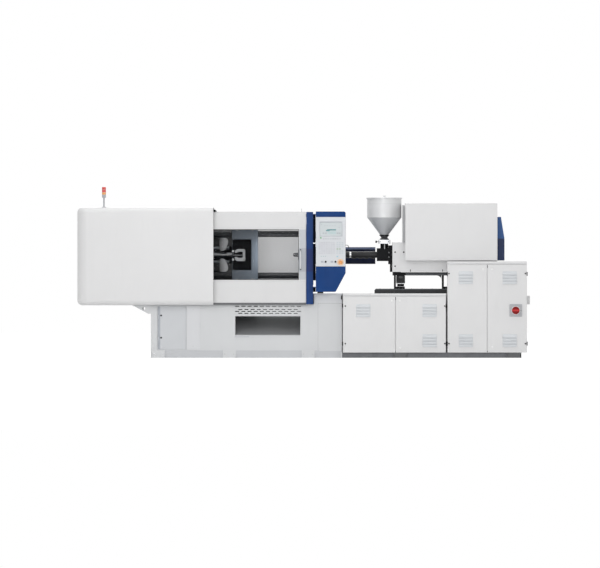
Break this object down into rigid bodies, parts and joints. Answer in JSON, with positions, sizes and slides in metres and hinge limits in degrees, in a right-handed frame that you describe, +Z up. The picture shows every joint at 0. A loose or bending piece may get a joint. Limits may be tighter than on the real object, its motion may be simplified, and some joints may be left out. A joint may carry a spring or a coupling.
{
  "type": "injection moulding machine",
  "caption": "Horizontal injection moulding machine with toggle clamp, sliding gates, swing console, hopper-fed injection carriage and electrical cabinets.",
  "frame": {"origin": "on the floor, midway along and across the machine", "axes": "+X from the clamp to the injection unit along the machine's length, +Y from the operator side to the rear, +Z up"},
  "size_m": [5.074, 1.385, 1.916],
  "materials": {
    "base_paint": "satin",
    "cover_paint": "satin",
    "door_paint": "satin",
    "blue_paint": "satin",
    "guard_paint": "satin",
    "platen_paint": "satin",
    "frame_paint": "satin",
    "steel": "brushed",
    "chrome": "polished",
    "iron": "rough",
    "black_plastic": "matte",
    "grey_plastic": "matte",
    "red_plastic": "gloss",
    "stop_plastic": "gloss",
    "amber_lens": "gloss",
    "window_pane": "clear",
    "handle_paint": "satin",
    "hopper_steel": "brushed"
  },
  "bodies": {
    "machine": {"base_frame": "base_paint", "base_side_panel": "base_paint", "clamp_cover_front": "cover_paint", "clamp_cover_rear": "cover_paint", "gate_rails": "steel", "portal_columns": "blue_paint", "stack_light_pole": "grey_plastic", "stack_light_amber": "amber_lens", "stack_light_red": "red_plastic", "hmi_post": "black_plastic", "cabinet_low": "door_paint", "cabinet_tall": "door_paint", "cabinet_hinges": "black_plastic", "fixed_platen": "platen_paint", "tie_bars": "chrome", "tie_bar_nuts": "steel", "carriage_rails": "frame_paint"},
    "access_door": {"base_access_door": "base_paint"},
    "front_gate": {"gate_front": "cover_paint", "gate_front_window": "window_pane", "gate_front_handle": "handle_paint"},
    "rear_gate": {"gate_rear": "cover_paint"},
    "console": {"hmi_housing": "blue_paint"},
    "stop_button": {"estop_button": "stop_plastic"},
    "low_left_door": {"door_low_left": "door_paint"},
    "low_right_door": {"door_low_right": "door_paint"},
    "tall_left_door": {"door_tall_left": "door_paint"},
    "tall_right_door": {"door_tall_right": "door_paint", "switch_plate": "grey_plastic"},
    "main_switch": {"switch_handle": "red_plastic"},
    "toggle_platen": {"rear_platen": "platen_paint", "adjusting_nuts": "steel", "clamp_motor": "black_plastic"},
    "clamp_spindle": {"clamp_screw": "steel"},
    "crosshead_block": {"crosshead": "iron"},
    "rear_link_top": {"rear_link_upper": "iron"},
    "rear_link_bottom": {"rear_link_lower": "iron"},
    "front_link_top": {"front_link_upper": "iron"},
    "front_link_bottom": {"front_link_lower": "iron"},
    "cross_link_top": {"cross_link_upper": "iron"},
    "cross_link_bottom": {"cross_link_lower": "iron"},
    "mould_platen": {"moving_platen": "platen_paint"},
    "ejector": {"ejector_plate": "steel"},
    "carriage": {"carriage_frame": "frame_paint", "carriage_shroud": "cover_paint", "drive_motors": "frame_paint", "injection_cover": "cover_paint", "rear_hood": "blue_paint", "barrel": "iron", "heater_bands": "frame_paint", "nozzle": "steel", "feed_block": "frame_paint", "hopper_base": "steel", "hopper": "hopper_steel"},
    "shutoff_slide": {"hopper_gate": "black_plastic"},
    "lid": {"hopper_lid": "hopper_steel"},
    "injection_plate": {"pressure_plate": "iron"},
    "plasticizing_screw": {"feed_screw": "steel"},
    "injection_spindle": {"injection_screw": "steel"},
    "guard": {"purge_guard": "guard_paint"}
  },
  "joints": [
    {"name": "front_gate_slide", "type": "slide", "parent": "machine", "child": "front_gate", "axis": [-1, 0, 0], "range_m": [0, 0.93]},
    {"name": "rear_gate_slide", "type": "slide", "parent": "machine", "child": "rear_gate", "axis": [-1, 0, 0], "range_m": [0, 0.93]},
    {"name": "access_door_hinge", "type": "hinge", "parent": "machine", "child": "access_door", "pos_m": [-1.632, -0.561, 0.335], "axis": [0, 0, 1], "range_deg": [-90, 0]},
    {"name": "console_swing", "type": "hinge", "parent": "machine", "child": "console", "pos_m": [0.12, -0.645, 1.2], "axis": [0, 0, 1], "range_deg": [-90, 0]},
    {"name": "stop_press", "type": "slide", "parent": "console", "child": "stop_button", "axis": [0, 1, 0], "range_m": [0, 0.006], "stiffness_N_per_m": 900},
    {"name": "low_left_door_hinge", "type": "hinge", "parent": "machine", "child": "low_left_door", "pos_m": [0.4355, -0.645, 0.37], "axis": [0, 0, 1], "range_deg": [-90, 0]},
    {"name": "low_right_door_hinge", "type": "hinge", "parent": "machine", "child": "low_right_door", "pos_m": [1.5965, -0.645, 0.37], "axis": [0, 0, 1], "range_deg": [0, 90]},
    {"name": "tall_left_door_hinge", "type": "hinge", "parent": "machine", "child": "tall_left_door", "pos_m": [1.6085, -0.645, 0.55], "axis": [0, 0, 1], "range_deg": [-90, 0]},
    {"name": "tall_right_door_hinge", "type": "hinge", "parent": "machine", "child": "tall_right_door", "pos_m": [2.5035, -0.645, 0.55], "axis": [0, 0, 1], "range_deg": [0, 90]},
    {"name": "main_switch_turn", "type": "hinge", "parent": "tall_right_door", "child": "main_switch", "pos_m": [2.376, -0.649, 0.531], "axis": [0, 1, 0], "range_deg": [0, 90]},
    {"name": "die_height", "type": "slide", "parent": "machine", "child": "toggle_platen", "axis": [-1, 0, 0], "range_m": [0, 0.3]},
    {"name": "clamp_stroke", "type": "slide", "parent": "toggle_platen", "child": "mould_platen", "axis": [1, 0, 0], "range_m": [0, 0.33]},
    {"name": "ejector_stroke", "type": "slide", "parent": "mould_platen", "child": "ejector", "axis": [1, 0, 0], "range_m": [0, 0.075]},
    {"name": "rear_link_top_pivot", "type": "hinge", "parent": "toggle_platen", "child": "rear_link_top", "pos_m": [-1.1266, 0, 1.451], "axis": [0, 1, 0], "range_deg": [-92.89, 0.05]},
    {"name": "front_link_top_pivot", "type": "hinge", "parent": "mould_platen", "child": "front_link_top", "pos_m": [-0.905, 0, 1.306], "axis": [0, 1, 0], "range_deg": [-0.05, 15.82]},
    {"name": "cross_link_top_pivot", "type": "hinge", "parent": "crosshead_block", "child": "cross_link_top", "pos_m": [-1.1771, 0, 1.266], "axis": [0, 1, 0], "range_deg": [-7.68, 0.05]},
    {"name": "rear_link_bottom_pivot", "type": "hinge", "parent": "toggle_platen", "child": "rear_link_bottom", "pos_m": [-1.1266, 0, 0.861], "axis": [0, 1, 0], "range_deg": [-0.05, 92.89]},
    {"name": "front_link_bottom_pivot", "type": "hinge", "parent": "mould_platen", "child": "front_link_bottom", "pos_m": [-0.905, 0, 1.006], "axis": [0, 1, 0], "range_deg": [-15.82, 0.05]},
    {"name": "cross_link_bottom_pivot", "type": "hinge", "parent": "crosshead_block", "child": "cross_link_bottom", "pos_m": [-1.1771, 0, 1.046], "axis": [0, 1, 0], "range_deg": [-0.05, 7.68]},
    {"name": "crosshead_slide", "type": "slide", "parent": "toggle_platen", "child": "crosshead_block", "axis": [1, 0, 0], "range_m": [0, 0.2773]},
    {"name": "clamp_screw_spin", "type": "hinge", "parent": "toggle_platen", "child": "clamp_spindle", "pos_m": [-1.3, 0, 1.156], "axis": [1, 0, 0], "continuous": true},
    {"name": "carriage_slide", "type": "slide", "parent": "machine", "child": "carriage", "axis": [1, 0, 0], "range_m": [-0.215, 0]},
    {"name": "injection_stroke", "type": "slide", "parent": "carriage", "child": "injection_plate", "axis": [1, 0, 0], "range_m": [0, 0.16]},
    {"name": "screw_spin", "type": "hinge", "parent": "injection_plate", "child": "plasticizing_screw", "pos_m": [1.2, 0, 1.156], "axis": [1, 0, 0], "continuous": true},
    {"name": "injection_screw_spin", "type": "hinge", "parent": "carriage", "child": "injection_spindle", "pos_m": [1.8, 0, 1.156], "axis": [1, 0, 0], "continuous": true},
    {"name": "shutoff_pull", "type": "slide", "parent": "carriage", "child": "shutoff_slide", "axis": [-1, 0, 0], "range_m": [0, 0.062]},
    {"name": "lid_hinge", "type": "hinge", "parent": "carriage", "child": "lid", "pos_m": [0.908, 0.212, 1.7993], "axis": [1, 0, 0], "range_deg": [-100, 0]},
    {"name": "guard_tilt", "type": "hinge", "parent": "machine", "child": "guard", "pos_m": [0.5, 0.325, 1.063], "axis": [1, 0, 0], "range_deg": [-75, 0]}
  ],
  "couplings": [
    {"joint": "rear_link_top_pivot", "follows": "clamp_stroke", "rad_per_m": -4.9102},
    {"joint": "front_link_top_pivot", "follows": "clamp_stroke", "rad_per_m": 0.83427},
    {"joint": "cross_link_top_pivot", "follows": "clamp_stroke", "rad_per_m": -0.40354},
    {"joint": "rear_link_bottom_pivot", "follows": "clamp_stroke", "rad_per_m": 4.9102},
    {"joint": "front_link_bottom_pivot", "follows": "clamp_stroke", "rad_per_m": -0.83427},
    {"joint": "cross_link_bottom_pivot", "follows": "clamp_stroke", "rad_per_m": 0.40354},
    {"joint": "crosshead_slide", "follows": "clamp_stroke", "ratio": 0.83873},
    {"joint": "clamp_screw_spin", "follows": "clamp_stroke", "rad_per_m": 131.75},
    {"joint": "injection_screw_spin", "follows": "injection_stroke", "rad_per_m": 157.08}
  ]
}
